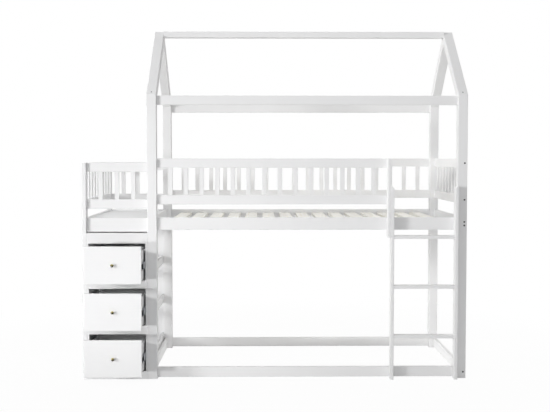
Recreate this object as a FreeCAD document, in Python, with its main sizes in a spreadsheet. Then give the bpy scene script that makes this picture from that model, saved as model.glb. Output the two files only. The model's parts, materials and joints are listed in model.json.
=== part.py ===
import FreeCAD, Part

import os
from math import cos, floor, hypot, pi, sin
from types import SimpleNamespace

import Sketcher

# A painted bunk bed with a house-shaped roof frame, a ladder and a drawer tower at its left end.
# Sizes are worked out from the left posts' outer face (x), the posts' front face (y) and the floor (z).
# The finished part has its origin on the floor, in the middle of its box with the drawers pulled out.

dimensions = {
    # posts and roof
    "bed_length": 2000,  # over the outer faces of the posts
    "bed_depth": 1070,
    "post_side": 60,
    "post_height": 1784,  # at the outer face, where the rafter begins
    "ridge_height": 2233,
    "rafter_depth": 60,
    "ridge_beam_height": 40,
    "ridge_beam_depth": 58,
    "eave_drop": 9,  # beam tops below the posts' outer corners
    # rails
    "rail_thickness": 20,
    "rail_height": 58,
    "side_setback": 18,  # long rails, behind the posts' front and rear faces
    "end_setback": 7,  # end rails, inside the posts' outer faces
    "bunk_rail_bottom": 937,
    "bunk_rail_height": 78,
    "floor_rail_bottom": 8,
    "floor_rail_height": 65,
    "edge_round": 3,
    "edge_ease": 2,
    # slats
    "slat_width": 80,
    "slat_thickness": 18,
    "slat_pitch": 119,
    "slat_margin": 50,  # least room between the end rails and the outer slats
    "slat_drop": 24,  # slat tops below the rail tops
    "slat_end_gap": 2,
    "ledger_width": 20,
    "ledger_height": 30,
    # guards
    "guard_height": 287,
    "bed_guard_bottom": 1097,
    "tower_guard_bottom": 1071,
    "baluster_width": 28.5,
    "baluster_thickness": 14,
    "baluster_ease": 1.5,
    "front_baluster_count": 14,
    "rear_baluster_count": 18,
    "end_baluster_count": 8,
    "tower_baluster_count": 3,
    "stile_bottom": 894,
    # ladder
    "ladder_width": 421,  # over both stringers
    "stringer_thickness": 20,
    "stringer_depth": 60,
    "stringer_height": 1211,
    "stringer_chamfer": 14,
    "rung_count": 3,
    "rung_thickness": 21,
    "rung_depth": 52,
    "rung_pitch": 312.5,
    "first_rung_bottom": 259,
    # tower
    "tower_width": 405,  # beyond the bed's left posts
    "leg_width": 27,
    "apron_bottom": 926,
    "apron_height": 88,
    "deck_drop": 10,
    "deck_thickness": 12,
    "cleat_side": 20,
    "stretcher_height": 57,
    # drawer chest
    "chest_depth": 500,
    "panel_thickness": 12,
    "face_rail_thickness": 18,
    "face_rail_bottom": 50,
    "face_rail_middle": 52,
    "face_rail_top": 65,
    "drawer_opening": 233.4,
    # drawers
    "drawer_pull": 195,  # how far the drawers stand open
    "front_thickness": 15,
    "front_gap": 2,
    "box_depth": 450,
    "box_height": 180,
    "box_lift": 10,  # box bottom above its opening's lower edge
    "box_wall": 12,
    "bottom_thickness": 5,
    "groove_depth": 5,
    "groove_height": 8,
    "groove_clearance": 0.2,
    "knob_radius": 10,
    "knob_length": 22,
    "knob_neck": 5,
    "knob_head_length": 11,
    "knob_chamfer": 3.5,
    # telescopic slides
    "slide_length": 450,
    "slide_height": 45,
    "slide_width": 13,
    "slide_wall": 1.2,
    "slide_clearance": 0.4,
    "slide_end_gap": 3,  # behind the drawer front's inner face
    # bolts through the right posts into barrel nuts in the right end's rails
    "bolt_radius": 3,
    "bolt_clearance": 0.3,
    "bolt_head_radius": 5.25,
    "bolt_head_height": 2.5,
    "bolt_socket_radius": 2.3,
    "bolt_socket_depth": 1.8,
    "bolt_pair_pitch": 22,
    "bolt_overrun": 4,  # thread past the nut
    "nut_radius": 5,
    "nut_length": 14,
    "nut_clearance": 0.2,
    "nut_inset": 30,  # nut axis from the rail's end
    "drill_overrun": 1,
}

# Small round pieces are drawn with this many flat sides
rod_sides = 12
knob_sides = 24
socket_sides = 6
# Edges and volumes are told apart to this much
tolerance = 0.01

doc = FreeCAD.newDocument("house_bunk_bed")
sheet = doc.addObject("Spreadsheet::Sheet", "Sizes")


class Size:
    """A number together with the sheet formula that gives it."""

    def __init__(self, value, formula):
        self.value = value
        self.formula = formula

    def joined(self, sign, other, value):
        return Size(value, f"({self.formula} {sign} {other.formula})")

    def __add__(self, other):
        other = as_size(other)
        return self.joined("+", other, self.value + other.value)

    def __sub__(self, other):
        other = as_size(other)
        return self.joined("-", other, self.value - other.value)

    def __mul__(self, other):
        other = as_size(other)
        return self.joined("*", other, self.value * other.value)

    def __truediv__(self, other):
        other = as_size(other)
        return self.joined("/", other, self.value / other.value)

    def __radd__(self, other):
        return as_size(other) + self

    def __rsub__(self, other):
        return as_size(other) - self

    def __rmul__(self, other):
        return as_size(other) * self

    def root(self):
        return Size(self.value**0.5, f"sqrt({self.formula})")

    def whole(self):
        return Size(floor(self.value), f"floor({self.formula})")


def as_size(amount):
    if isinstance(amount, Size):
        return amount
    return Size(amount, str(amount))


def fill_sheet():
    sizes = SimpleNamespace()
    for row, (name, value) in enumerate(dimensions.items(), start=1):
        sheet.set(f"A{row}", name)
        sheet.set(f"B{row}", str(value))
        sheet.setAlias(f"B{row}", name)
        setattr(sizes, name, Size(value, f"Sizes.{name}"))
    doc.recompute()
    return sizes


d = fill_sheet()
nodes = []

# Lines that several pieces share
left_inside = d.post_side
right_inside = d.bed_length - d.post_side
front_inside = d.post_side
rear_inside = d.bed_depth - d.post_side
post_span = right_inside - left_inside
depth_span = rear_inside - front_inside
front_rail_y = d.side_setback
rear_rail_y = d.bed_depth - d.side_setback - d.rail_thickness
left_rail_x = d.end_setback
right_rail_x = d.bed_length - d.end_setback - d.rail_thickness
tower_left = 0 - d.tower_width
tower_inside = tower_left + d.leg_width
chest_width = d.tower_width - d.leg_width
opening_left = tower_inside + d.panel_thickness
opening_width = chest_width - 2 * d.panel_thickness
chest_height = d.face_rail_bottom + 3 * d.drawer_opening + 2 * d.face_rail_middle + d.face_rail_top
drawer_step = d.drawer_opening + d.face_rail_middle

# The middle of the part's box on the floor
origin_x = (d.bed_length - d.tower_width) / 2
origin_y = (d.bed_depth - d.drawer_pull - d.knob_length) / 2
origin = (origin_x, origin_y, as_size(0))

# The plane on which an outline is drawn when its piece runs along x, y or z
planes = {"x": "YZ_Plane", "y": "XZ_Plane", "z": "XY_Plane"}
axes = {"x": "X_Axis", "y": "Y_Axis", "z": "Z_Axis"}
directions = {
    "x": FreeCAD.Vector(1, 0, 0),
    "y": FreeCAD.Vector(0, 1, 0),
    "z": FreeCAD.Vector(0, 0, 1),
}


def bind(thing, name, amount):
    thing.setExpression(name, as_size(amount).formula)


def place(thing, corner):
    for axis, amount, shift in zip("xyz", corner, origin):
        bind(thing, f".Placement.Base.{axis}", amount - shift)


def origin_feature(body, role):
    return next(feature for feature in body.Origin.OriginFeatures if feature.Role == role)


def new_body(label):
    body = doc.addObject("PartDesign::Body", label)
    body.Label = label
    return body


def pin_point(sketch, index, kind, amount, axis_line):
    """Ties one coordinate of a line's first point to the sheet, or to the axis where it is 0."""
    if amount.formula == "0":
        sketch.addConstraint(Sketcher.Constraint("PointOnObject", index, 1, axis_line))
        return
    number = sketch.addConstraint(Sketcher.Constraint(kind, -1, 1, index, 1, amount.value))
    bind(sketch, f"Constraints[{number}]", amount)


def draw_outline(body, along, points):
    sketch = body.newObject("Sketcher::SketchObject", f"{body.Label}_outline")
    sketch.AttachmentSupport = [(origin_feature(body, planes[along]), "")]
    sketch.MapMode = "FlatFace"
    points = [(as_size(across), as_size(up)) for across, up in points]
    corners = [FreeCAD.Vector(across.value, up.value, 0) for across, up in points]
    count = len(points)
    for index in range(count):
        sketch.addGeometry(Part.LineSegment(corners[index], corners[(index + 1) % count]), False)
    for index in range(count):
        sketch.addConstraint(Sketcher.Constraint("Coincident", index, 2, (index + 1) % count, 1))
    for index, (across, up) in enumerate(points):
        pin_point(sketch, index, "DistanceX", across, -2)
        pin_point(sketch, index, "DistanceY", up, -1)
    return sketch


def pad_outline(body, along, points, length):
    pad = body.newObject("PartDesign::Pad", f"{body.Label}_pad")
    pad.Profile = draw_outline(body, along, points)
    pad.Reversed = along == "y"
    bind(pad, "Length", length)
    doc.recompute()
    return pad


def round_listed(body, base, edges):
    """Rounds the given edges of a body's last feature."""
    names = [
        f"Edge{number}"
        for number, edge in enumerate(base.Shape.Edges, start=1)
        if any(edge.isSame(other) for other in edges)
    ]
    fillet = body.newObject("PartDesign::Fillet", f"{body.Label}_round")
    fillet.Base = (base, names)
    bind(fillet, "Radius", d.edge_round)
    body.Tip = fillet
    doc.recompute()


def round_edges(body, base, grain):
    """Rounds the edges that run along the grain."""
    along_grain = [
        edge
        for edge in base.Shape.Edges
        if edge.tangentAt(edge.FirstParameter).cross(grain).Length < tolerance
    ]
    round_listed(body, base, along_grain)


def row(body, axis, step, count):
    """Repeats the whole body along an axis."""
    pattern = body.newObject("PartDesign::LinearPattern", f"{body.Label}_row")
    pattern.TransformMode = "Whole shape"
    pattern.Direction = (origin_feature(body, axes[axis]), [""])
    pattern.Mode = "Spacing"
    bind(pattern, "Offset", step)
    bind(pattern, "Occurrences", count)
    body.Tip = pattern


def keep(thing):
    nodes.append(thing)
    return thing


def gather(label, pieces):
    group = doc.addObject("Part::Compound", label)
    group.Label = label
    group.Links = pieces
    return keep(group)


def rectangle(width, height):
    return [(0, 0), (width, 0), (width, height), (0, height)]


def eased_rectangle(width, height, ease):
    return [
        (ease, 0),
        (width - ease, 0),
        (width, ease),
        (width, height - ease),
        (width - ease, height),
        (ease, height),
        (0, height - ease),
        (0, ease),
    ]


def section(along, size):
    """The two sizes across a piece that runs along an axis, in its outline's order."""
    across = [amount for axis, amount in zip("xyz", size) if axis != along]
    length = size["xyz".index(along)]
    return across[0], across[1], length


def profile(label, along, points, length, corner):
    """A piece of one outline all along."""
    body = new_body(label)
    pad_outline(body, along, points, length)
    place(body, corner)
    return body


def board(label, along, size, corner, edges="plain"):
    """A straight board whose long edges are eased or plain."""
    width, height, length = section(along, size)
    outline = rectangle(width, height)
    if edges == "eased":
        outline = eased_rectangle(width, height, d.edge_ease)
    return profile(label, along, outline, length, corner)


# Posts and rafters share a mitre line that runs from the outer corner to where their inner faces meet
roof_run = d.bed_depth / 2
roof_rise = d.ridge_height - d.post_height
roof_slope = roof_rise / roof_run
rafter_plumb = d.rafter_depth * (roof_run * roof_run + roof_rise * roof_rise).root() / roof_run
mitre_inside = d.post_height + d.post_side * roof_slope - rafter_plumb


# Bolts stand at the right end rails' middle line, at the heights of the rails that they hold
bolt_x = right_rail_x + d.rail_thickness / 2
bunk_rail_middle = d.bunk_rail_bottom + d.bunk_rail_height / 2
floor_heights = [d.floor_rail_bottom + d.floor_rail_height / 2]
bunk_heights = [bunk_rail_middle - d.bolt_pair_pitch / 2, bunk_rail_middle + d.bolt_pair_pitch / 2]
guard_heights = [
    d.bed_guard_bottom + d.rail_height / 2,
    d.bed_guard_bottom + d.guard_height - d.rail_height / 2,
]
bolt_heights = floor_heights + bunk_heights + guard_heights
bolt_length = d.post_side + d.nut_inset + d.nut_radius + d.bolt_overrun
bolt_hole_radius = d.bolt_radius + d.bolt_clearance
facing = {
    "front": FreeCAD.Rotation(directions["x"], -90),
    "rear": FreeCAD.Rotation(directions["x"], 90),
    "inward": FreeCAD.Rotation(directions["y"], 90),
}


def rod(label, radius, length, base, turn, sides=rod_sides):
    """A thin rod with few flat sides, from a point along the way that it faces."""
    prism = doc.addObject("Part::Prism", label)
    prism.Polygon = sides
    bind(prism, "Circumradius", radius)
    bind(prism, "Height", length)
    prism.Placement = FreeCAD.Placement(FreeCAD.Vector(), facing[turn])
    place(prism, base)
    return prism


def along_bolt(end, distance):
    """The depth at a distance along a bolt, counted from the post's face that its head stands on."""
    return distance if end == "front" else d.bed_depth - distance


def drilled(label, blank, tools):
    """A piece with holes, the blank less its drills."""
    drills = doc.addObject("Part::Compound", f"{label}_drills")
    drills.Links = tools
    piece = doc.addObject("Part::Cut", label)
    piece.Label = label
    piece.Base = blank
    piece.Tool = drills
    doc.recompute()
    if piece.Shape.Volume > blank.Shape.Volume - tolerance:
        raise RuntimeError(f"{label} was not drilled")
    return piece


def post_drills(label, end):
    start = along_bolt(end, 0 - d.drill_overrun)
    length = d.post_side + 2 * d.drill_overrun
    return [
        rod(f"{label}_drill", bolt_hole_radius, length, (bolt_x, start, height), end)
        for height in bolt_heights
    ]


def end_rail_drills(label, heights):
    """Bolt holes into both ends of a right end rail, and cross holes for the nuts from its inner face."""
    depth = bolt_length - d.post_side + d.drill_overrun
    blind_reach = d.nut_length / 2 + d.nut_clearance
    open_reach = d.rail_thickness / 2 + d.drill_overrun
    nut_x = bolt_x - open_reach
    cross = blind_reach + open_reach
    tools = []
    for end in ("front", "rear"):
        face = along_bolt(end, d.post_side - d.drill_overrun)
        nut_y = along_bolt(end, d.post_side + d.nut_inset)
        for height in heights:
            base = (bolt_x, face, height)
            tools.append(rod(f"{label}_bolt_drill", bolt_hole_radius, depth + d.drill_overrun, base, end))
            base = (nut_x, nut_y, height)
            tools.append(rod(f"{label}_nut_drill", d.nut_radius + d.nut_clearance, cross, base, "inward"))
    return tools


def bolt(label, end, height):
    """A flat-headed bolt with a six-sided socket."""
    seat = (bolt_x, along_bolt(end, 0), height)
    top = (bolt_x, along_bolt(end, 0 - d.bolt_head_height), height)
    head = rod(f"{label}_head", d.bolt_head_radius, d.bolt_head_height, top, end)
    shank = rod(f"{label}_shank", d.bolt_radius, bolt_length, seat, end)
    blank = doc.addObject("Part::Fuse", f"{label}_blank")
    blank.Base = head
    blank.Tool = shank
    socket = rod(f"{label}_socket", d.bolt_socket_radius, d.bolt_socket_depth, top, end, socket_sides)
    piece = doc.addObject("Part::Cut", label)
    piece.Base = blank
    piece.Tool = socket
    return piece


def barrel_nut(label, end, height):
    """A cross dowel in the rail, bored for its bolt."""
    nut_x = bolt_x - d.nut_length / 2
    nut_y = along_bolt(end, d.post_side + d.nut_inset)
    barrel = rod(f"{label}_barrel", d.nut_radius, d.nut_length, (nut_x, nut_y, height), "inward")
    bore_y = along_bolt(end, d.post_side + d.nut_inset - d.nut_radius - d.drill_overrun)
    bore_length = 2 * d.nut_radius + 2 * d.drill_overrun
    bore = rod(f"{label}_bore", bolt_hole_radius, bore_length, (bolt_x, bore_y, height), end)
    piece = doc.addObject("Part::Cut", label)
    piece.Base = barrel
    piece.Tool = bore
    return piece


def build_bolts():
    bolts = []
    nuts = []
    for end in ("front", "rear"):
        for height in bolt_heights:
            bolts.append(bolt("bolt", end, height))
            nuts.append(barrel_nut("barrel_nut", end, height))
    gather("frame_bolts", bolts)
    gather("barrel_nuts", nuts)


post_left = {"left": as_size(0), "right": right_inside}


def post(label, side, end):
    if end == "rear":
        corners = [(0, 0), (d.post_side, 0), (d.post_side, d.post_height), (0, mitre_inside)]
    else:
        corners = [(0, 0), (d.post_side, 0), (d.post_side, mitre_inside), (0, d.post_height)]
    body = new_body(label)
    pad = pad_outline(body, "x", corners, d.post_side)
    round_edges(body, pad, directions["z"])
    place(body, (post_left[side], rear_inside if end == "rear" else 0, 0))
    return body


def rafter(side, end):
    foot = mitre_inside - d.post_height
    head = roof_rise - rafter_plumb
    if end == "rear":
        points = [(0, roof_rise), (0, head), (roof_run - d.post_side, foot), (roof_run, 0)]
    else:
        points = [(0, 0), (d.post_side, foot), (roof_run, head), (roof_run, roof_rise)]
    body = new_body(f"rafter_{end}_{side}")
    pad = pad_outline(body, "x", points, d.post_side)
    rise = -roof_rise.value if end == "rear" else roof_rise.value
    round_edges(body, pad, FreeCAD.Vector(0, roof_run.value, rise).normalize())
    place(body, (post_left[side], roof_run if end == "rear" else 0, d.post_height))
    return body


def build_posts_and_roof():
    for end in ("front", "rear"):
        keep(post(f"post_{end}_left", "left", end))
        label = f"post_{end}_right"
        keep(drilled(label, post(f"{label}_blank", "right", end), post_drills(label, end)))
    for side in ("left", "right"):
        gather(f"rafters_{side}", [rafter(side, end) for end in ("front", "rear")])
    ridge_corner = (
        left_inside,
        (d.bed_depth - d.ridge_beam_depth) / 2,
        d.ridge_height - d.ridge_beam_height,
    )
    ridge_size = (post_span, d.ridge_beam_depth, d.ridge_beam_height)
    keep(board("ridge_beam", "x", ridge_size, ridge_corner, "eased"))
    beam_size = (post_span, d.rail_thickness, d.rail_height)
    eave_bottom = d.post_height - d.eave_drop - d.rail_height
    beams = [
        board(f"eave_beam_{side}", "x", beam_size, (left_inside, y, eave_bottom), "eased")
        for side, y in (("front", front_rail_y), ("rear", rear_rail_y))
    ]
    gather("eave_beams", beams)


def bolted_rail(label, size, corner, heights):
    """A rail between the right posts, drilled for its bolts and their nuts."""
    blank = board(f"{label}_blank", "y", size, corner, "eased")
    return drilled(label, blank, end_rail_drills(label, heights))


def build_bunks():
    rail_size = (post_span, d.rail_thickness, d.bunk_rail_height)
    for side, y in (("front", front_rail_y), ("rear", rear_rail_y)):
        keep(board(f"side_rail_{side}", "x", rail_size, (left_inside, y, d.bunk_rail_bottom), "eased"))
    floor_side_size = (post_span, d.rail_thickness, d.floor_rail_height)
    floor_z = d.floor_rail_bottom
    gather("floor_side_rails", [
        board(f"floor_rail_{side}", "x", floor_side_size, (left_inside, y, floor_z), "eased")
        for side, y in (("front", front_rail_y), ("rear", rear_rail_y))
    ])
    for label, bottom, height, heights in (
        ("end_rail", d.bunk_rail_bottom, d.bunk_rail_height, bunk_heights),
        ("floor_end_rail", floor_z, d.floor_rail_height, floor_heights),
    ):
        size = (d.rail_thickness, depth_span, height)
        gather(f"{label}s", [
            board(f"{label}_left", "y", size, (left_rail_x, front_inside, bottom), "eased"),
            bolted_rail(f"{label}_right", size, (right_rail_x, front_inside, bottom), heights),
        ])


def build_slats():
    slat_top = d.bunk_rail_bottom + d.bunk_rail_height - d.slat_drop
    slat_bottom = slat_top - d.slat_thickness
    inner_front = front_rail_y + d.rail_thickness
    slat_length = rear_rail_y - inner_front - 2 * d.slat_end_gap
    inner_length = right_rail_x - left_rail_x - d.rail_thickness
    steps = ((inner_length - 2 * d.slat_margin - d.slat_width) / d.slat_pitch).whole()
    covered = steps * d.slat_pitch + d.slat_width
    slats = new_body("bed_slats")
    outline = eased_rectangle(d.slat_width, d.slat_thickness, d.baluster_ease)
    pad_outline(slats, "y", outline, slat_length)
    row(slats, "x", d.slat_pitch, steps + 1)
    place(slats, ((d.bed_length - covered) / 2, inner_front + d.slat_end_gap, slat_bottom))
    keep(slats)
    ledger_size = (post_span, d.ledger_width, d.ledger_height)
    ledger_bottom = slat_bottom - d.ledger_height
    gather("slat_ledgers", [
        board("slat_ledger_front", "x", ledger_size, (left_inside, inner_front, ledger_bottom)),
        board(
            "slat_ledger_rear",
            "x",
            ledger_size,
            (left_inside, rear_rail_y - d.ledger_width, ledger_bottom),
        ),
    ])


def guard_rails(label, along, span, corner):
    """The lower and upper rail of a guard."""
    size = (span, d.rail_thickness, d.rail_height)
    if along == "y":
        size = (d.rail_thickness, span, d.rail_height)
    x, y, bottom = corner
    top = bottom + d.guard_height - d.rail_height
    return [
        board(f"{label}_rail_{level}", along, size, (x, y, z), "eased")
        for level, z in (("lower", bottom), ("upper", top))
    ]


def balusters(label, along, span, count, corner):
    """Upright bars at equal gaps between a guard's rails."""
    x, y, bottom = corner
    gap = (span - count * d.baluster_width) / (count + 1)
    inset = (d.rail_thickness - d.baluster_thickness) / 2
    foot = bottom + d.rail_height
    length = d.guard_height - 2 * d.rail_height
    body = new_body(label)
    if along == "x":
        outline = eased_rectangle(d.baluster_width, d.baluster_thickness, d.baluster_ease)
        place(body, (x + gap, y + inset, foot))
    else:
        outline = eased_rectangle(d.baluster_thickness, d.baluster_width, d.baluster_ease)
        place(body, (x + inset, y + gap, foot))
    pad_outline(body, "z", outline, length)
    row(body, along, gap + d.baluster_width, count)
    return body


ladder_left = right_inside - d.ladder_width
stile_left = ladder_left - d.stringer_thickness
stringer_y = front_rail_y - d.stringer_depth


def build_bed_guards():
    bottom = d.bed_guard_bottom
    front_corner = (left_inside, front_rail_y, bottom)
    gather("front_guard_rails", guard_rails("front_guard", "x", ladder_left - left_inside, front_corner))
    front_span = stile_left - left_inside
    keep(balusters("front_guard_balusters", "x", front_span, d.front_baluster_count, front_corner))
    stile_height = bottom + d.guard_height - d.stile_bottom
    stile_size = (d.stringer_thickness, d.stringer_depth, stile_height)
    keep(board("front_guard_stile", "z", stile_size, (stile_left, stringer_y, d.stile_bottom), "eased"))
    rear_corner = (left_inside, rear_rail_y, bottom)
    gather("rear_guard_rails", guard_rails("rear_guard", "x", post_span, rear_corner))
    keep(balusters("rear_guard_balusters", "x", post_span, d.rear_baluster_count, rear_corner))
    end_corner = (right_rail_x, front_inside, bottom)
    end_rail_size = (d.rail_thickness, depth_span, d.rail_height)
    upper_bottom = bottom + d.guard_height - d.rail_height
    levels = (("lower", bottom, guard_heights[0]), ("upper", upper_bottom, guard_heights[1]))
    gather("end_guard_rails", [
        bolted_rail(f"end_guard_{level}", end_rail_size, (right_rail_x, front_inside, z), [height])
        for level, z, height in levels
    ])
    keep(balusters("end_guard_balusters", "y", depth_span, d.end_baluster_count, end_corner))


def build_ladder():
    width = d.stringer_thickness
    height = d.stringer_height
    cut = d.stringer_chamfer
    inner_right = [(0, 0), (width, 0), (width, height - cut), (width - cut, height), (0, height)]
    inner_left = [(0, 0), (width, 0), (width, height), (cut, height), (0, height - cut)]
    right_x = right_inside - width
    for label, outline, x in (
        ("ladder_stringer_left", inner_right, ladder_left),
        ("ladder_stringer_right", inner_left, right_x),
    ):
        body = new_body(label)
        pad = pad_outline(body, "y", outline, d.stringer_depth)
        round_edges(body, pad, directions["z"])
        place(body, (x, stringer_y, 0))
        keep(body)
    rung_size = (d.ladder_width - 2 * width, d.rung_depth, d.rung_thickness)
    rung_y = stringer_y + (d.stringer_depth - d.rung_depth) / 2
    first_corner = (ladder_left + width, rung_y, d.first_rung_bottom)
    rungs = board("ladder_rungs", "x", rung_size, first_corner, "eased")
    row(rungs, "z", d.rung_pitch, d.rung_count)
    keep(rungs)


def build_tower():
    leg_height = d.tower_guard_bottom + d.guard_height
    leg_size = (d.leg_width, d.post_side, leg_height)
    keep(board("tower_leg_front", "z", leg_size, (tower_left, 0, 0), "eased"))
    keep(board("tower_leg_rear", "z", leg_size, (tower_left, rear_inside, 0), "eased"))
    side_x = tower_inside - d.rail_thickness
    long_size = (chest_width, d.rail_thickness, d.apron_height)
    side_size = (d.rail_thickness, depth_span, d.apron_height)
    gather("tower_aprons", [
        board("tower_apron_front", "x", long_size, (tower_inside, front_rail_y, d.apron_bottom), "eased"),
        board("tower_apron_rear", "x", long_size, (tower_inside, rear_rail_y, d.apron_bottom), "eased"),
        board("tower_apron_left", "y", side_size, (side_x, front_inside, d.apron_bottom), "eased"),
    ])
    deck_front = front_rail_y + d.rail_thickness
    deck_size = (chest_width, rear_rail_y - deck_front, d.deck_thickness)
    deck_bottom = d.apron_bottom + d.apron_height - d.deck_drop - d.deck_thickness
    keep(board("tower_deck", "x", deck_size, (tower_inside, deck_front, deck_bottom)))
    cleat_size = (chest_width, d.cleat_side, d.cleat_side)
    cleat_bottom = deck_bottom - d.cleat_side
    gather("deck_cleats", [
        board("deck_cleat_front", "x", cleat_size, (tower_inside, deck_front, cleat_bottom)),
        board(
            "deck_cleat_rear",
            "x",
            cleat_size,
            (tower_inside, rear_rail_y - d.cleat_side, cleat_bottom),
        ),
    ])
    corners = {
        "front": ("x", chest_width, d.tower_baluster_count, (tower_inside, front_rail_y)),
        "rear": ("x", chest_width, d.tower_baluster_count, (tower_inside, rear_rail_y)),
        "left": ("y", depth_span, d.end_baluster_count, (side_x, front_inside)),
    }
    rails = []
    bars = []
    for side, (along, span, count, (x, y)) in corners.items():
        corner = (x, y, d.tower_guard_bottom)
        rails += guard_rails(f"tower_{side}", along, span, corner)
        bars.append(balusters(f"tower_{side}_balusters", along, span, count, corner))
    gather("tower_guard_rails", rails)
    gather("tower_guard_balusters", bars)


def build_chest():
    panel = d.panel_thickness
    side_size = (panel, d.chest_depth, chest_height)
    right_panel = 0 - panel
    gather("chest_sides", [
        board("chest_side_left", "z", side_size, (tower_inside, 0, 0)),
        board("chest_side_right", "z", side_size, (right_panel, 0, 0)),
    ])
    inside_back = d.chest_depth - panel
    back_size = (opening_width, panel, chest_height)
    keep(board("chest_back", "z", back_size, (opening_left, inside_back, 0)))
    top_size = (opening_width, inside_back - d.face_rail_thickness, panel)
    top_corner = (opening_left, d.face_rail_thickness, chest_height - panel)
    keep(board("chest_top", "x", top_size, top_corner))
    heights = [
        (as_size(0), d.face_rail_bottom),
        (d.face_rail_bottom + d.drawer_opening, d.face_rail_middle),
        (d.face_rail_bottom + d.drawer_opening + drawer_step, d.face_rail_middle),
        (chest_height - d.face_rail_top, d.face_rail_top),
    ]
    gather("chest_face_rails", [
        board(
            f"chest_face_rail_{number}",
            "x",
            (opening_width, d.face_rail_thickness, height),
            (opening_left, 0, bottom),
        )
        for number, (bottom, height) in enumerate(heights, start=1)
    ])
    back_panel_y = rear_rail_y + d.rail_thickness
    panel_size = (chest_width, d.panel_thickness, d.apron_bottom)
    keep(board("tower_back_panel", "x", panel_size, (tower_inside, back_panel_y, 0)))
    stretchers = []
    spans = (
        ("left", tower_inside - d.rail_thickness, front_inside, depth_span),
        ("right", 0 - d.rail_thickness, d.chest_depth, back_panel_y - d.chest_depth),
    )
    for side, x, y, length in spans:
        body = new_body(f"tower_stretchers_{side}")
        outline = eased_rectangle(d.rail_thickness, d.stretcher_height, d.edge_ease)
        pad_outline(body, "y", outline, length)
        row(body, "z", drawer_step, 3)
        place(body, (x, y, d.face_rail_bottom))
        stretchers.append(body)
    gather("tower_stretchers", stretchers)


def mirrored(points, width):
    """The same outline with its left and right sides exchanged."""
    flipped = []
    for across, up in reversed(points):
        if as_size(across).formula == width.formula:
            flipped.append((0, up))
        elif as_size(across).formula == "0":
            flipped.append((width, up))
        else:
            flipped.append((width - across, up))
    return flipped


def channel(width, height, wall):
    """A channel section with its web at the left and its open side to the right."""
    return [
        (0, 0),
        (width, 0),
        (width, wall),
        (wall, wall),
        (wall, height - wall),
        (width, height - wall),
        (width, height),
        (0, height),
    ]


def slide_pair(label, outline, inset_left, inset_right, lift, front, bottom):
    """The left and right member of a drawer's slides, each at its inset from the chest's side panel."""
    width = as_size(outline[1][0])
    left_x = opening_left + inset_left
    right_x = opening_left + opening_width - inset_right - width
    return [
        profile(f"{label}_left", "y", outline, d.slide_length, (left_x, front, bottom + lift)),
        profile(
            f"{label}_right",
            "y",
            mirrored(outline, width),
            d.slide_length,
            (right_x, front, bottom + lift),
        ),
    ]


drawer_names = ("bottom", "middle", "top")
slide_front = d.front_thickness + d.slide_end_gap
slide_step = d.slide_wall + d.slide_clearance
slide_centre = d.box_lift + d.box_height / 2


def slide_bottom(level):
    opening_bottom = d.face_rail_bottom + level * drawer_step
    return opening_bottom + slide_centre - d.slide_height / 2


def build_outer_slides():
    outline = channel(d.slide_width - 2 * d.slide_clearance, d.slide_height, d.slide_wall)
    members = []
    for level, name in enumerate(drawer_names):
        pair = slide_pair(f"slide_outer_{name}", outline, 0, 0, 0, slide_front, slide_bottom(level))
        members += pair
    gather("slide_outer_members", members)


def build_moving_slides(level, name):
    middle_width = d.slide_width - slide_step - 2 * d.slide_clearance
    middle_outline = channel(middle_width, d.slide_height - 2 * slide_step, d.slide_wall)
    middle = slide_pair(
        f"slide_middle_{name}",
        middle_outline,
        slide_step,
        slide_step,
        slide_step,
        slide_front - d.drawer_pull / 2,
        slide_bottom(level),
    )
    gather(f"slide_middle_{name}", middle)
    inner_width = d.slide_width - 2 * slide_step
    inner_height = d.slide_height - 4 * slide_step
    inner_outline = mirrored(channel(inner_width, inner_height, d.slide_wall), inner_width)
    inner = slide_pair(
        f"slide_inner_{name}",
        inner_outline,
        2 * slide_step,
        2 * slide_step,
        2 * slide_step,
        slide_front - d.drawer_pull,
        slide_bottom(level),
    )
    gather(f"slide_inner_{name}", inner)


def grooved_wall(width, height):
    """A wall section with a groove along its right side for the drawer's bottom."""
    low = d.groove_height - d.groove_clearance
    high = d.groove_height + d.bottom_thickness + d.groove_clearance
    cut = width - d.groove_depth
    return [
        (0, 0),
        (width, 0),
        (width, low),
        (cut, low),
        (cut, high),
        (width, high),
        (width, height),
        (0, height),
    ]


def many_sided(radius, centre):
    """A round outline drawn with straight sides."""
    angles = [2 * pi * (side + 0.5) / knob_sides for side in range(knob_sides)]
    return [
        (centre + radius * round(cos(angle), 6), centre + radius * round(sin(angle), 6))
        for angle in angles
    ]


def rim_distance(edge, centre):
    """How far the middle of an edge lies from the knob's axis."""
    middle = edge.CenterOfMass
    return hypot(middle.x - centre, middle.z - centre)


def knob(label, x, front_y, z):
    """A mushroom knob that points to the front: a head with both its rims chamfered, on a slim neck."""
    centre = d.knob_radius
    body = new_body(label)
    pad_outline(body, "y", many_sided(d.knob_radius, centre), d.knob_head_length)
    knob_pad = pad_outline(body, "y", many_sided(d.knob_neck, centre), d.knob_length)
    rim = d.knob_radius.value * cos(pi / knob_sides)
    chamfer = body.newObject("PartDesign::Chamfer", f"{label}_chamfer")
    chamfer.Base = (knob_pad, [
        f"Edge{number}"
        for number, edge in enumerate(knob_pad.Shape.Edges, start=1)
        if edge.BoundBox.YLength < tolerance and rim_distance(edge, centre.value) > rim - tolerance
    ])
    bind(chamfer, "Size", d.knob_chamfer)
    body.Tip = chamfer
    place(body, (x - centre, front_y - d.knob_length, z - centre))
    keep(body)


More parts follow.
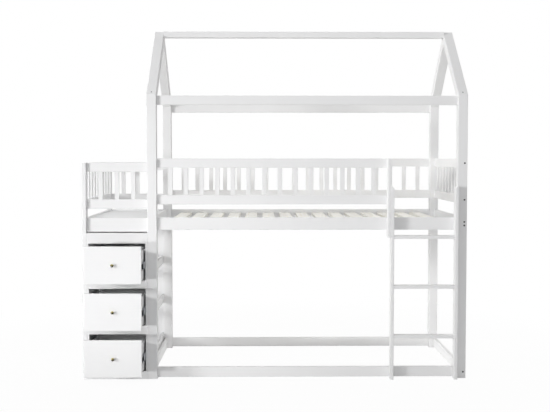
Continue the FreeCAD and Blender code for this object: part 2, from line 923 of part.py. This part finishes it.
def build_drawer(level, name):
    opening_bottom = d.face_rail_bottom + level * drawer_step
    front_y = 0 - d.drawer_pull
    front_width = opening_width - 2 * d.front_gap
    front_height = d.drawer_opening - 2 * d.front_gap
    front = new_body(f"drawer_front_{name}")
    pad = pad_outline(front, "y", rectangle(front_width, front_height), d.front_thickness)
    outer_edges = [edge for edge in pad.Shape.Edges if edge.BoundBox.YMax < tolerance]
    round_listed(front, pad, outer_edges)
    place(front, (opening_left + d.front_gap, front_y, opening_bottom + d.front_gap))
    keep(front)
    middle_x = opening_left + opening_width / 2
    knob(f"drawer_knob_{name}", middle_x, front_y, opening_bottom + d.drawer_opening / 2)

    wall = d.box_wall
    box_x = opening_left + d.slide_width
    box_y = front_y + d.front_thickness
    box_z = opening_bottom + d.box_lift
    box_width = opening_width - 2 * d.slide_width
    right_wall_x = box_x + box_width - wall
    back_y = box_y + d.box_depth - wall
    inside_x = box_x + wall
    inside_width = box_width - 2 * wall
    outline = grooved_wall(wall, d.box_height)
    flipped = mirrored(outline, wall)
    gather(f"drawer_box_{name}", [
        profile(f"drawer_side_left_{name}", "y", outline, d.box_depth, (box_x, box_y, box_z)),
        profile(f"drawer_side_right_{name}", "y", flipped, d.box_depth, (right_wall_x, box_y, box_z)),
        profile(f"drawer_inner_front_{name}", "x", outline, inside_width, (inside_x, box_y, box_z)),
        profile(f"drawer_back_{name}", "x", flipped, inside_width, (inside_x, back_y, box_z)),
    ])
    tongue = d.groove_depth - d.groove_clearance
    bottom_size = (
        inside_width + 2 * tongue,
        d.box_depth - 2 * wall + 2 * tongue,
        d.bottom_thickness,
    )
    bottom_corner = (inside_x - tongue, box_y + wall - tongue, box_z + d.groove_height)
    keep(board(f"drawer_bottom_{name}", "x", bottom_size, bottom_corner))


build_posts_and_roof()
build_bunks()
build_slats()
build_bed_guards()
build_bolts()
build_ladder()
build_tower()
build_chest()
build_outer_slides()
for level, name in enumerate(drawer_names):
    build_moving_slides(level, name)
    build_drawer(level, name)
doc.recompute()

for thing in doc.Objects:
    if "Invalid" in thing.State or "Error" in thing.State:
        raise RuntimeError(f"{thing.Label} failed: {thing.State}")
for node in nodes:
    if node.Shape.isNull() or not node.Shape.isValid():
        raise RuntimeError(f"{node.Label} has no valid shape")

os.makedirs("parts", exist_ok=True)
for node in nodes:
    node.Shape.exportStep(f"parts/{node.Label}.step")
print(len(nodes), "sub-parts written")
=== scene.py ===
import json
import math

import bmesh
import bpy
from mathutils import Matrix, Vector


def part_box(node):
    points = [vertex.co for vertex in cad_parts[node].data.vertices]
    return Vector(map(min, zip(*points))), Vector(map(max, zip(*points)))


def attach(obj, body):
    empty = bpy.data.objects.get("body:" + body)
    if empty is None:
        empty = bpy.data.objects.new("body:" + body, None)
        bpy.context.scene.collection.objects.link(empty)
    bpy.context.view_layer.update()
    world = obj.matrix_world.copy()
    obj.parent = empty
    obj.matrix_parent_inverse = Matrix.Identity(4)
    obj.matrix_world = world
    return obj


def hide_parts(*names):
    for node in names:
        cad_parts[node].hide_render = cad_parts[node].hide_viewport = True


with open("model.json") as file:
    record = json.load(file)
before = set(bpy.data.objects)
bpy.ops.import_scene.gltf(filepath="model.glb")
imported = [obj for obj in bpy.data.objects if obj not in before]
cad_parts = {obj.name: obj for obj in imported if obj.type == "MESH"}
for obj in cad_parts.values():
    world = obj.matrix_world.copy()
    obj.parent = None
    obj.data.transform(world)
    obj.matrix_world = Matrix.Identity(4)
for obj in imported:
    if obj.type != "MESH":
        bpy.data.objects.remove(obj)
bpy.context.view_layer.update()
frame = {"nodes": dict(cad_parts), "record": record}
nodes = frame["nodes"]
mm = 0.001  # metres; the pieces' sizes below are in millimetres
levels = ("bottom", "middle", "top")
print("frame loaded:", len(nodes), "nodes")

# camera, at the photo's standpoint in front of the bed
viewPoint = {
    "place": (-0.085, -6.53, 1.381),  # metres
    "pitch": 2.75,  # degrees below level
    "yaw": 0.8,  # degrees to the right
    "lens": 64.1,
    "farthest": 200,  # metres
}


def makeCamera():
    camera = bpy.data.objects.new("camera", bpy.data.cameras.new("camera"))
    bpy.context.scene.collection.objects.link(camera)
    camera.location = viewPoint["place"]
    camera.rotation_euler = (
        math.radians(90 - viewPoint["pitch"]),
        0,
        math.radians(-viewPoint["yaw"]),
    )
    camera.data.lens = viewPoint["lens"]
    camera.data.clip_end = viewPoint["farthest"]
    bpy.context.scene.camera = camera


makeCamera()
print("camera set")


# materials
def linear(hexColour):
    channels = [int(hexColour[i:i + 2], 16) / 255 for i in (1, 3, 5)]
    return [c / 12.92 if c <= 0.04045 else ((c + 0.055) / 1.055) ** 2.4 for c in channels] + [1]


def addNode(tree, kind, inputs=None, **settings):
    node = tree.nodes.new(kind)
    for name, value in settings.items():
        setattr(node, name, value)
    for name, value in (inputs or {}).items():
        if isinstance(value, bpy.types.NodeSocket):
            tree.links.new(value, node.inputs[name])
        else:
            node.inputs[name].default_value = value
    return node


def newTree(name):
    material = bpy.data.materials.new(name)
    material.use_nodes = True
    material.node_tree.nodes.clear()
    return material, material.node_tree


def stretched(across, along, axis):
    # pattern repeats per metre on x, y and z, drawn out along the grain
    return [1 / (mm * (along if name == axis else across)) for name in "xyz"]


# Satin white lacquer sprayed on pine: almost flat and neutral, a soft sheen, faint grain that shows through,
# fine orange peel, slow changes of tone and a painted highlight, a lighter colour, on the arrises.
whitePaint = {
    "film": "#F4F4F4",
    "thick": "#EEEEEF",
    # painted highlight: the lighter colour that the arrises get
    "arris": "#FAFAFA",
    "roughness": (0.5, 0.64),
    "ior": 1.47,
    "specular": 0.3,  # of a full gloss at this IOR
    "grainAcross": 9,  # mm, coarser than real grain so that it shows
    "grainAlong": 420,
    "grainHeight": 0.06,
    "peel": 3,  # coarser than real orange peel so that it shows
    "peelHeight": 0.012,
    "bump": 0.5,
    "cloud": 340,
    "grainShare": 0.4,  # of the tone, the rest is the cloud
    "arrisHighlightWidth": 2.5,
    "arrisHighlightTurn": (0.99, 0.8),  # cosines of the turn where the painted highlight on an arris starts and where it is full
    "arrisHighlightShare": 0.7,
}


def satinWhitePaint(axis):
    spec = whitePaint
    material, tree = newTree(f"satinWhitePaintAlong{axis.upper()}")
    place = addNode(tree, "ShaderNodeTexCoord").outputs["Object"]
    drawn = addNode(tree, "ShaderNodeMapping", {
        "Vector": place,
        "Scale": stretched(spec["grainAcross"], spec["grainAlong"], axis),
    })
    grain = addNode(tree, "ShaderNodeTexNoise", {
        "Vector": drawn.outputs["Vector"], "Scale": 1, "Detail": 4, "Roughness": 0.6, "Distortion": 0.7,
    })
    peel = addNode(tree, "ShaderNodeTexNoise", {
        "Vector": place, "Scale": 1 / (spec["peel"] * mm), "Detail": 1,
    })
    cloud = addNode(tree, "ShaderNodeTexNoise", {
        "Vector": place, "Scale": 1 / (spec["cloud"] * mm), "Detail": 2,
    })
    tone = addNode(tree, "ShaderNodeMix", {
        0: spec["grainShare"], 2: cloud.outputs["Fac"], 3: grain.outputs["Fac"],
    })
    body = addNode(tree, "ShaderNodeMix", {
        0: tone.outputs[0], 6: linear(spec["film"]), 7: linear(spec["thick"]),
    }, data_type="RGBA")
    # painted highlight: the colour turns lighter where the surface rounds over an arris, found from the
    # Bevel node's normal
    rounded = addNode(tree, "ShaderNodeBevel", {"Radius": spec["arrisHighlightWidth"] * mm}, samples=4)
    surface = addNode(tree, "ShaderNodeNewGeometry")
    agree = addNode(tree, "ShaderNodeVectorMath", {
        0: rounded.outputs["Normal"], 1: surface.outputs["Normal"],
    }, operation="DOT_PRODUCT")
    arris = addNode(tree, "ShaderNodeMapRange", {
        "Value": agree.outputs["Value"],
        "From Min": spec["arrisHighlightTurn"][0],
        "From Max": spec["arrisHighlightTurn"][1],
        "To Max": spec["arrisHighlightShare"],
    })
    colour = addNode(tree, "ShaderNodeMix", {
        0: arris.outputs[0], 6: body.outputs[2], 7: linear(spec["arris"]),
    }, data_type="RGBA")
    sheen = addNode(tree, "ShaderNodeMapRange", {
        "Value": cloud.outputs["Fac"], "To Min": spec["roughness"][0], "To Max": spec["roughness"][1],
    })
    grainBump = addNode(tree, "ShaderNodeBump", {
        "Height": grain.outputs["Fac"], "Distance": spec["grainHeight"] * mm, "Strength": spec["bump"],
    })
    peelBump = addNode(tree, "ShaderNodeBump", {
        "Height": peel.outputs["Fac"],
        "Distance": spec["peelHeight"] * mm,
        "Strength": spec["bump"],
        "Normal": grainBump.outputs["Normal"],
    })
    shader = addNode(tree, "ShaderNodeBsdfPrincipled", {
        "Base Color": colour.outputs[2],
        "Roughness": sheen.outputs[0],
        "IOR": spec["ior"],
        "Specular IOR Level": spec["specular"],
        "Normal": peelBump.outputs["Normal"],
    })
    addNode(tree, "ShaderNodeOutputMaterial", {"Surface": shader.outputs[0]})
    return material


# Planed pine, unfinished: pale cream early wood with narrow honey late-wood lines along each slat,
# a smooth planed surface, a few small knots, and a tone that changes from slat to slat.
pine = {
    "early": "#FAF8F0",
    "late": "#F1EAD6",
    "knot": "#D8C49C",
    "roughness": (0.3, 0.45),
    "ring": 9,  # mm between growth lines, coarser than real ones so that they show
    "drawn": 700,
    "lines": (0.5, 0.68),  # of the grain, where late wood starts and where it is full
    "knots": 260,
    "knotRim": (0.09, 0.03),  # of the space between knots
    "knotShare": 0.8,
    "tones": (0.93, 1.04),
    "apart": (3, 5, 7),  # metres that part the slats' places in the pattern
    "height": 0.08,
    "bump": 0.6,
}


def planedPine():
    spec = pine
    material, tree = newTree("planedPine")
    place = addNode(tree, "ShaderNodeTexCoord").outputs["Object"]
    island = addNode(tree, "ShaderNodeNewGeometry").outputs["Random Per Island"]
    apart = addNode(tree, "ShaderNodeVectorMath", {0: island, 1: spec["apart"]}, operation="MULTIPLY")
    shift = addNode(tree, "ShaderNodeVectorMath", {0: place, 1: apart.outputs[0]}, operation="ADD")
    drawn = addNode(tree, "ShaderNodeMapping", {
        "Vector": shift.outputs[0], "Scale": stretched(spec["ring"], spec["drawn"], "y"),
    })
    grain = addNode(tree, "ShaderNodeTexNoise", {
        "Vector": drawn.outputs["Vector"], "Scale": 1, "Detail": 5, "Roughness": 0.62, "Distortion": 1.1,
    })
    lines = addNode(tree, "ShaderNodeMapRange", {
        "Value": grain.outputs["Fac"], "From Min": spec["lines"][0], "From Max": spec["lines"][1],
    }, interpolation_type="SMOOTHSTEP")
    spots = addNode(tree, "ShaderNodeMapping", {
        "Vector": shift.outputs[0], "Scale": stretched(spec["knots"] / 3, spec["knots"], "y"),
    })
    knots = addNode(tree, "ShaderNodeTexVoronoi", {"Vector": spots.outputs["Vector"], "Scale": 1})
    knotMask = addNode(tree, "ShaderNodeMapRange", {
        "Value": knots.outputs["Distance"],
        "From Min": spec["knotRim"][0],
        "From Max": spec["knotRim"][1],
        "To Max": spec["knotShare"],
    })
    wood = addNode(tree, "ShaderNodeMix", {
        0: lines.outputs[0], 6: linear(spec["early"]), 7: linear(spec["late"]),
    }, data_type="RGBA")
    knotted = addNode(tree, "ShaderNodeMix", {
        0: knotMask.outputs[0], 6: wood.outputs[2], 7: linear(spec["knot"]),
    }, data_type="RGBA")
    lightness = addNode(tree, "ShaderNodeMapRange", {
        "Value": island, "To Min": spec["tones"][0], "To Max": spec["tones"][1],
    })
    toned = addNode(tree, "ShaderNodeHueSaturation", {
        "Value": lightness.outputs[0], "Color": knotted.outputs[2],
    })
    dry = addNode(tree, "ShaderNodeMapRange", {
        "Value": grain.outputs["Fac"], "To Min": spec["roughness"][0], "To Max": spec["roughness"][1],
    })
    bump = addNode(tree, "ShaderNodeBump", {
        "Height": grain.outputs["Fac"], "Distance": spec["height"] * mm, "Strength": spec["bump"],
    })
    shader = addNode(tree, "ShaderNodeBsdfPrincipled", {
        "Base Color": toned.outputs[0], "Roughness": dry.outputs[0], "Normal": bump.outputs["Normal"],
    })
    addNode(tree, "ShaderNodeOutputMaterial", {"Surface": shader.outputs[0]})
    return material


# Metals: one finish each, with marks that change the tone and the gloss.
# Turned brass, darkened with age: deep olive with dull spots, and a painted highlight of pale gold on the
# upward faces.
brass = {
    "name": "antiqueBrass",
    "bright": "#5A5232",
    "dull": "#2C2A1C",
    "paintedTopHighlight": "#C9BE8E",
    "paintedHighlightRise": (0.05, 0.6),  # upward part of the normal where the painted gold highlight starts and where it is full
    "roughness": (0.16, 0.34),
    "mark": 5,  # mm
    "height": 0.01,
    "bump": 0.3,
}
# Zinc-plated steel strip: cool bright grey with a cloudy passivated bloom.
zinc = {
    "name": "zincPlatedSteel",
    "bright": "#D3D6DA",
    "dull": "#A9AEB5",
    "roughness": (0.24, 0.42),
    "mark": 14,
    "height": 0.02,
    "bump": 0.3,
}
# Black oxide steel: nearly black, oily sheen, with worn grey specks.
blackOxide = {
    "name": "blackOxideSteel",
    "bright": "#4A4A4C",
    "dull": "#1C1C1E",
    "roughness": (0.3, 0.5),
    "mark": 3,
    "height": 0.02,
    "bump": 0.3,
}


def metal(spec):
    material, tree = newTree(spec["name"])
    place = addNode(tree, "ShaderNodeTexCoord").outputs["Object"]
    cloud = addNode(tree, "ShaderNodeTexNoise", {
        "Vector": place, "Scale": 1 / (spec["mark"] * mm), "Detail": 4, "Roughness": 0.65,
    })
    colour = addNode(tree, "ShaderNodeMix", {
        0: cloud.outputs["Fac"], 6: linear(spec["bright"]), 7: linear(spec["dull"]),
    }, data_type="RGBA")
    # painted highlight: faces that point upwards turn pale gold, as if lit from above
    if "paintedTopHighlight" in spec:
        surface = addNode(tree, "ShaderNodeSeparateXYZ", {
            0: addNode(tree, "ShaderNodeNewGeometry").outputs["Normal"],
        })
        upper = addNode(tree, "ShaderNodeMapRange", {
            "Value": surface.outputs["Z"],
            "From Min": spec["paintedHighlightRise"][0],
            "From Max": spec["paintedHighlightRise"][1],
        }, interpolation_type="SMOOTHSTEP")
        colour = addNode(tree, "ShaderNodeMix", {
            0: upper.outputs[0], 6: colour.outputs[2], 7: linear(spec["paintedTopHighlight"]),
        }, data_type="RGBA")
    gloss = addNode(tree, "ShaderNodeMapRange", {
        "Value": cloud.outputs["Fac"], "To Min": spec["roughness"][0], "To Max": spec["roughness"][1],
    })
    bump = addNode(tree, "ShaderNodeBump", {
        "Height": cloud.outputs["Fac"], "Distance": spec["height"] * mm, "Strength": spec["bump"],
    })
    shader = addNode(tree, "ShaderNodeBsdfPrincipled", {
        "Base Color": colour.outputs[2],
        "Metallic": 1,
        "Roughness": gloss.outputs[0],
        "Normal": bump.outputs["Normal"],
    })
    addNode(tree, "ShaderNodeOutputMaterial", {"Surface": shader.outputs[0]})
    return material


paints = {axis: satinWhitePaint(axis) for axis in "xyz"}
slatPine = planedPine()
antiqueBrass, zincSteel, blackSteel = metal(brass), metal(zinc), metal(blackOxide)
print("materials made")


# finish of the CAD nodes: grain along the boards and a small round on every arris
finish = {
    "alongZ": ("post", "balusters", "stile", "stringer", "leg", "chest_sides", "chest_back", "tower_back"),
    "alongY": ("rafters", "end_rails", "floor_end", "end_guard_rails", "stretchers", "drawer_bottom"),
    "weld": 0.01,  # mm
    "woodRound": 1.2,
    "steelRound": 0.25,
    "segments": 2,
    "sharpest": 25,  # degrees between faces that are rounded
}


def roundArrises(piece, width):
    weld = piece.modifiers.new("weld", "WELD")
    weld.merge_threshold = finish["weld"] * mm
    bevel = piece.modifiers.new("arris", "BEVEL")
    bevel.width = width * mm
    bevel.segments = finish["segments"]
    bevel.limit_method = "ANGLE"
    bevel.angle_limit = math.radians(finish["sharpest"])
    bevel.harden_normals = True


def coat(piece, material):
    piece.data.materials.clear()
    piece.data.materials.append(material)


def paintNode(name):
    if any(word in name for word in finish["alongZ"]):
        return paints["z"]
    if any(word in name for word in finish["alongY"]):
        return paints["y"]
    return paints["x"]


def finishNodes():
    slots = {part["node"]: part["material_slot"] for part in frame["record"]["subparts"]}
    plain = {
        "pine_slats": (slatPine, finish["woodRound"]),
        "brass_knobs": (antiqueBrass, finish["steelRound"]),
        "zinc_plated_steel": (zincSteel, finish["steelRound"]),
        "black_oxide_bolts": (blackSteel, finish["steelRound"]),
    }
    for name, piece in nodes.items():
        material, width = plain.get(slots[name], (paintNode(name), finish["woodRound"]))
        coat(piece, material)
        roundArrises(piece, width)


finishNodes()
print("CAD nodes finished")


# turned pieces: outlines of (radius, height) in mm, spun about an axis that starts at a seat
turning = {
    "sides": 48,
    "crossWaist": 0.36,  # of the arms' reach
    "sharp": 35,  # degrees between faces that stay crisp
}


def arc(centre, across, along, start, end, steps=8):
    angles = [math.radians(start + (end - start) * i / steps) for i in range(steps + 1)]
    return [(centre[0] + across * math.cos(a), centre[1] + along * math.sin(a)) for a in angles]


def roundRim(angle):
    return 1


def hexRim(angle):
    # from a round's radius to a hexagon with the same corners
    sixth = math.pi / 3
    return math.cos(sixth / 2) / math.cos(angle % sixth - sixth / 2)


def crossRim(angle):
    # four soft arms
    waist = turning["crossWaist"]
    return waist + (1 - waist) * abs(math.cos(2 * angle)) ** 4


def spin(shape, outline, seat, axis):
    # adds one turned form to a bmesh; an outline point is (radius, height) or (radius, height, rim)
    turn = Vector(axis).to_track_quat("Z", "Y").to_matrix()
    rings = []
    for radius, height, *rim in outline:
        rimAt = rim[0] if rim else roundRim
        angles = [2 * math.pi * i / turning["sides"] for i in range(turning["sides"])] if radius else [0]
        rings.append([
            shape.verts.new(seat + turn @ Vector((
                radius * rimAt(a) * math.cos(a) * mm, radius * rimAt(a) * math.sin(a) * mm, height * mm,
            )))
            for a in angles
        ])
    for lower, upper in zip(rings, rings[1:]):
        for i in range(turning["sides"]):
            j = (i + 1) % turning["sides"]
            around = ((lower, i), (lower, j), (upper, j), (upper, i))
            corners = [ring[k % len(ring)] for ring, k in around]
            shape.faces.new(list(dict.fromkeys(corners)))


def turnedPiece(name, forms, material, body, slotName, *replaced):
    # forms is a list of (outline, seat, axis)
    shape = bmesh.new()
    for outline, seat, axis in forms:
        spin(shape, outline, seat, axis)
    bmesh.ops.recalc_face_normals(shape, faces=shape.faces)
    mesh = bpy.data.meshes.new(name)
    shape.to_mesh(mesh)
    shape.free()
    mesh.shade_smooth()
    mesh.set_sharp_from_angle(angle=math.radians(turning["sharp"]))
    piece = bpy.data.objects.new(name, mesh)
    bpy.context.scene.collection.objects.link(piece)
    coat(piece, material)
    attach(piece, body)
    if replaced:
        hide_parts(*replaced)
    return piece


def solids(node):
    # lowest and highest corner of each separate solid of a CAD node
    shape = bmesh.new()
    shape.from_mesh(nodes[node].data)
    bmesh.ops.remove_doubles(shape, verts=shape.verts, dist=finish["weld"] * mm)
    left = set(shape.verts)
    boxes = []
    while left:
        grown = [left.pop()]
        for vert in grown:
            near = [edge.other_vert(vert) for edge in vert.link_edges]
            fresh = [other for other in dict.fromkeys(near) if other in left]
            left.difference_update(fresh)
            grown += fresh
        places = list(zip(*(vert.co for vert in grown)))
        boxes.append((Vector([min(axis) for axis in places]), Vector([max(axis) for axis in places])))
    shape.free()
    return sorted(boxes, key=lambda box: tuple(round(value, 4) for value in box[0]))


# drawer knobs: a beaded foot, a waisted neck and a domed head
knob = {
    "bead": 1,
    "foot": 5.5,
    "neck": 4.2,
    "waist": 6,  # height of the neck's middle
    "brim": 15.5,  # height of the widest line
    "headRadius": 10,
    "length": 22,
}


def knobOutline():
    spec = knob
    under = 2 * spec["bead"]
    reach = spec["waist"] - under
    neck = [
        (spec["neck"] + (spec["foot"] - spec["neck"]) * t * t, spec["waist"] + reach * t)
        for t in (-1, -0.7, -0.4, 0, 0.4, 0.7, 1)
    ]
    shoulder = spec["waist"] + reach
    rise = spec["brim"] - shoulder
    return (
        [(0, 0)]
        + arc((spec["foot"], spec["bead"]), spec["bead"], spec["bead"], -90, 90)
        + neck[1:]
        + arc((spec["foot"], spec["brim"]), spec["headRadius"] - spec["foot"], rise, -90, 0)[1:]
        + arc((0, spec["brim"]), spec["headRadius"], spec["length"] - spec["brim"], 0, 90, 10)[1:-1]
        + [(0, spec["length"])]
    )


def makeKnobs():
    for level in levels:
        low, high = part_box(f"drawer_knob_{level}")
        seat = Vector(((low.x + high.x) / 2, high.y, (low.z + high.z) / 2))
        turnedPiece(
            f"turned_knob_{level}",
            [(knobOutline(), seat, (0, -1, 0))],
            antiqueBrass,
            f"drawer_{level}",
            "brass_knobs",
            f"drawer_knob_{level}",
        )


# bolts in the right posts: low round heads with a hex socket
boltHead = {
    "radius": 5.25,
    "height": 2.5,
    "edge": 0.9,
    "shank": 3,
    "point": 0.8,
    "socket": 2.3,
    "socketDepth": 1.8,
}


def boltOutline(length):
    spec = boltHead
    top = spec["height"]
    return (
        [(0, -length), (spec["shank"] - spec["point"], -length), (spec["shank"], spec["point"] - length)]
        + [(spec["shank"], 0), (spec["radius"], 0)]
        + arc((spec["radius"] - spec["edge"], top - spec["edge"]), spec["edge"], spec["edge"], 0, 90, 5)
        + [(spec["socket"], top, hexRim), (spec["socket"], top - spec["socketDepth"], hexRim)]
        + [(0, top - spec["socketDepth"])]
    )


def makeBolts():
    forms = []
    for low, high in solids("frame_bolts"):
        inFront = low.y + high.y < 0
        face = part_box("post_front_right")[0].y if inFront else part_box("post_rear_right")[1].y
        inside = high.y - face if inFront else face - low.y
        seat = Vector(((low.x + high.x) / 2, face, (low.z + high.z) / 2))
        forms.append((boltOutline(inside / mm), seat, (0, -1 if inFront else 1, 0)))
    turnedPiece("socket_bolts", forms, blackSteel, "frame", "black_oxide_bolts", "frame_bolts")


# wood screws: countersunk heads with a cross recess, flush in the slats' ends and the rafters' feet
screw = {
    "head": 4,
    "proud": 0.2,
    "sink": 2.4,
    "core": 1.6,
    "length": 9,
    "recess": 2.4,
    "recessDepth": 1.5,
    "slatEnd": 9,  # from a slat's end
    "rafterFoot": 20,  # up the slope from the post's outer corner
}


def screwOutline():
    spec = screw
    return [
        (0, -spec["length"]),
        (spec["core"], spec["core"] - spec["length"]),
        (spec["core"], -spec["sink"]),
        (spec["head"], 0),
        (spec["head"] - spec["proud"] / 2, spec["proud"]),
        (spec["recess"], spec["proud"], crossRim),
        (spec["recess"] / 2, spec["proud"] - spec["recessDepth"], crossRim),
        (0, spec["proud"] - spec["recessDepth"]),
    ]


def makeScrews():
    forms = []
    for low, high in solids("bed_slats"):
        middle = (low.x + high.x) / 2
        for y in (low.y + screw["slatEnd"] * mm, high.y - screw["slatEnd"] * mm):
            forms.append((screwOutline(), Vector((middle, y, high.z)), (0, 0, 1)))
    turnedPiece("slat_screws", forms, zincSteel, "frame", "zinc_plated_steel")
    forms = []
    foot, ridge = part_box("rafters_left")
    run = (ridge.y - foot.y) / 2
    for side in ("left", "right"):
        for end, inward in (("front", 1), ("rear", -1)):
            low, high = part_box(f"post_{end}_{side}")
            corner = Vector(((low.x + high.x) / 2, low.y if end == "front" else high.y, high.z))
            slope = Vector((0, inward * run, ridge.z - high.z))
            outward = Vector((0, -inward * slope.z, run))
            seat = corner + slope.normalized() * screw["rafterFoot"] * mm
            forms.append((screwOutline(), seat, outward))
    turnedPiece("rafter_screws", forms, blackSteel, "frame", "black_oxide_bolts")


makeKnobs()
makeBolts()
makeScrews()
print("knobs, bolts and screws made")


# stage: a white floor that keeps a faint shadow, and white surroundings
stage = {
    "floor": "#F4F4F4",
    "floorSide": 60,  # metres
    "white": "#FFFFFF",
    "shadowShare": 0.04,  # how much of the lit floor the camera sees under the object
    "shadowNear": 1.6,  # metres from the middle where the floor starts to fade to white
    "shadowFar": 3.2,
    "fill": 0.74,  # from the front, the back and above
    "fillLeft": 0.22,
    "fillRight": 0.2,
}
# lamps: a narrow key from the left, a narrow level strip on the drawers and a broad one high behind the bed
lamps = {
    "key": {
        "aim": (-0.3, -0.4, 1.9),
        "distance": 12,
        "turn": 57,  # degrees to the left of the view
        "tilt": 6,  # degrees above level
        "size": (2.4, 1.6),
        "power": 29,
        "spread": 30,  # degrees across the beam
    },
    "strip": {
        "aim": (-1.0, -0.55, 0.42),
        "distance": 12,
        "turn": 40,
        "tilt": -1,
        "size": (1.0, 0.3),
        "power": 2.75,
        "spread": 13,
    },
    "rear": {
        "aim": (0, 0, 0.8),
        "distance": 7.3,
        "turn": 187,
        "tilt": 46,
        "size": (5.0, 2.0),
        "power": 28,
        "spread": 70,
    },
}
# a faint lamp that faces up, for the light off the floor under the bed
bounce = {
    "height": 0.003,
    "power": 1.6,
}


def seenDirectly(tree):
    # 1 for rays from the camera, mirrors and glass, 0 for light that bounces
    path = addNode(tree, "ShaderNodeLightPath")
    pair = addNode(tree, "ShaderNodeMath", {
        0: path.outputs["Is Camera Ray"], 1: path.outputs["Is Glossy Ray"],
    }, operation="MAXIMUM")
    return addNode(tree, "ShaderNodeMath", {
        0: pair.outputs[0], 1: path.outputs["Is Transmission Ray"],
    }, operation="MAXIMUM").outputs[0]


def makeFloor():
    mesh = bpy.data.meshes.new("floor")
    far = stage["floorSide"] / 2
    corners = [(-far, -far, 0), (far, -far, 0), (far, far, 0), (-far, far, 0)]
    mesh.from_pydata(corners, [], [(0, 1, 2, 3)])
    floor = bpy.data.objects.new("floor", mesh)
    bpy.context.scene.collection.objects.link(floor)
    material, tree = newTree("mattWhiteSweep")
    place = addNode(tree, "ShaderNodeTexCoord").outputs["Object"]
    distance = addNode(tree, "ShaderNodeVectorMath", {0: place}, operation="LENGTH")
    share = addNode(tree, "ShaderNodeMapRange", {
        "Value": distance.outputs["Value"],
        "From Min": stage["shadowNear"],
        "From Max": stage["shadowFar"],
        "To Min": 1 - stage["shadowShare"],
        "To Max": 1,
    }, interpolation_type="SMOOTHSTEP")
    low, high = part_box("chest_sides")  # inside the chest the floor is dark
    half = (high - low) / 2
    offset = addNode(tree, "ShaderNodeVectorMath", {0: place, 1: low + half}, operation="SUBTRACT")
    across = addNode(tree, "ShaderNodeVectorMath", {0: offset.outputs[0], 1: half}, operation="DIVIDE")
    apart = addNode(tree, "ShaderNodeSeparateXYZ", {
        0: addNode(tree, "ShaderNodeVectorMath", {0: across.outputs[0]}, operation="ABSOLUTE").outputs[0],
    })
    edge = addNode(tree, "ShaderNodeMath", {
        0: apart.outputs["X"], 1: apart.outputs["Y"],
    }, operation="MAXIMUM")
    outside = addNode(tree, "ShaderNodeMath", {0: edge.outputs[0], 1: 1}, operation="GREATER_THAN")
    openFloor = addNode(tree, "ShaderNodeMath", {
        0: share.outputs[0], 1: outside.outputs[0],
    }, operation="MULTIPLY")
    amount = addNode(tree, "ShaderNodeMath", {
        0: openFloor.outputs[0], 1: seenDirectly(tree),
    }, operation="MULTIPLY")
    lit = addNode(tree, "ShaderNodeBsdfDiffuse", {"Color": linear(stage["floor"])})
    bright = addNode(tree, "ShaderNodeEmission", {"Color": linear(stage["white"]), "Strength": 1})
    mixed = addNode(tree, "ShaderNodeMixShader", {
        0: amount.outputs[0], 1: lit.outputs[0], 2: bright.outputs[0],
    })
    addNode(tree, "ShaderNodeOutputMaterial", {"Surface": mixed.outputs[0]})
    mesh.materials.append(material)


def makeSurroundings():
    world = bpy.data.worlds.new("studio")
    bpy.context.scene.world = world
    world.use_nodes = True
    tree = world.node_tree
    tree.nodes.clear()
    towards = addNode(tree, "ShaderNodeSeparateXYZ", {
        0: addNode(tree, "ShaderNodeTexCoord").outputs["Generated"],
    })
    leftHalf = addNode(tree, "ShaderNodeMapRange", {
        "Value": towards.outputs["X"],
        "From Min": -1,
        "From Max": 0,
        "To Min": stage["fillLeft"],
        "To Max": stage["fill"],
    })
    fill = addNode(tree, "ShaderNodeMapRange", {
        "Value": towards.outputs["X"], "To Min": leftHalf.outputs[0], "To Max": stage["fillRight"],
    })
    strength = addNode(tree, "ShaderNodeMapRange", {
        "Value": seenDirectly(tree), "To Min": fill.outputs[0], "To Max": 1,
    })
    sky = addNode(tree, "ShaderNodeBackground", {
        "Color": linear(stage["white"]), "Strength": strength.outputs[0],
    })
    addNode(tree, "ShaderNodeOutputWorld", {"Surface": sky.outputs[0]})


def softLamp(name, size, power, place, aim, spread=180):
    lamp = bpy.data.lights.new(name, "AREA")
    lamp.shape = "RECTANGLE"
    lamp.size, lamp.size_y = size
    lamp.energy = power
    lamp.spread = math.radians(spread)
    holder = bpy.data.objects.new(name, lamp)
    bpy.context.scene.collection.objects.link(holder)
    holder.location = place
    holder.rotation_euler = (aim - place).to_track_quat("-Z", "Y").to_euler()
    holder.visible_camera = False


def lightObject():
    for name, spec in lamps.items():
        turn = math.radians(spec["turn"])
        tilt = math.radians(spec["tilt"])
        level = Vector((math.sin(turn), math.cos(turn), 0)) * math.cos(tilt)
        aim = Vector(spec["aim"])
        place = aim - (level - Vector((0, 0, math.sin(tilt)))) * spec["distance"]
        softLamp(name, spec["size"], spec["power"], place, aim, spec["spread"])
    low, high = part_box("floor_end_rails")
    ground = (low + high) / 2
    ground.z = bounce["height"]
    softLamp("floorBounce", (high - low).xy, bounce["power"], ground, ground + Vector((0, 0, 1)))


makeFloor()
makeSurroundings()
lightObject()
bpy.context.scene.view_settings.view_transform = "Standard"
print("stage lit")
